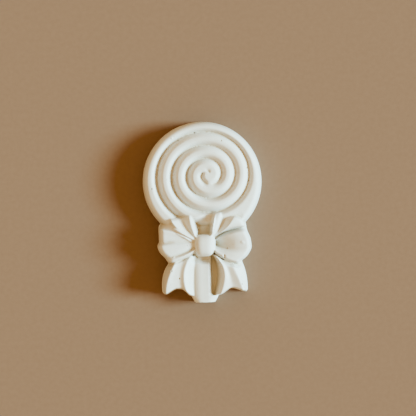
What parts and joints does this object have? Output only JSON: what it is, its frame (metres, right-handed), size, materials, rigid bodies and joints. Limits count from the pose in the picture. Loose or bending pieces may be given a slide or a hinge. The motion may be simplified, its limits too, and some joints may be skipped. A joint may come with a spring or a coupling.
{
  "type": "swirl lollipop cast with ribbon bow",
  "caption": "Flat-backed moulded lollipop in low relief: round swirled head, folded ribbon bow with a knot and tails, and a short stick stub.",
  "frame": {"origin": "on the flat back, under the middle of the piece's bounding box", "axes": "+Y from the stick's stub to the top of the head, +X to the right as the relief is looked at, +Z out of the relief, so the back lies at z = 0"},
  "size_m": [0.04, 0.0603, 0.011],
  "materials": {
    "plaster": "matt white cast plaster or sugar paste, unpainted, with fine pinholes"
  },
  "bodies": {
    "root": {"lollipop": "plaster"}
  },
  "joints": []
}
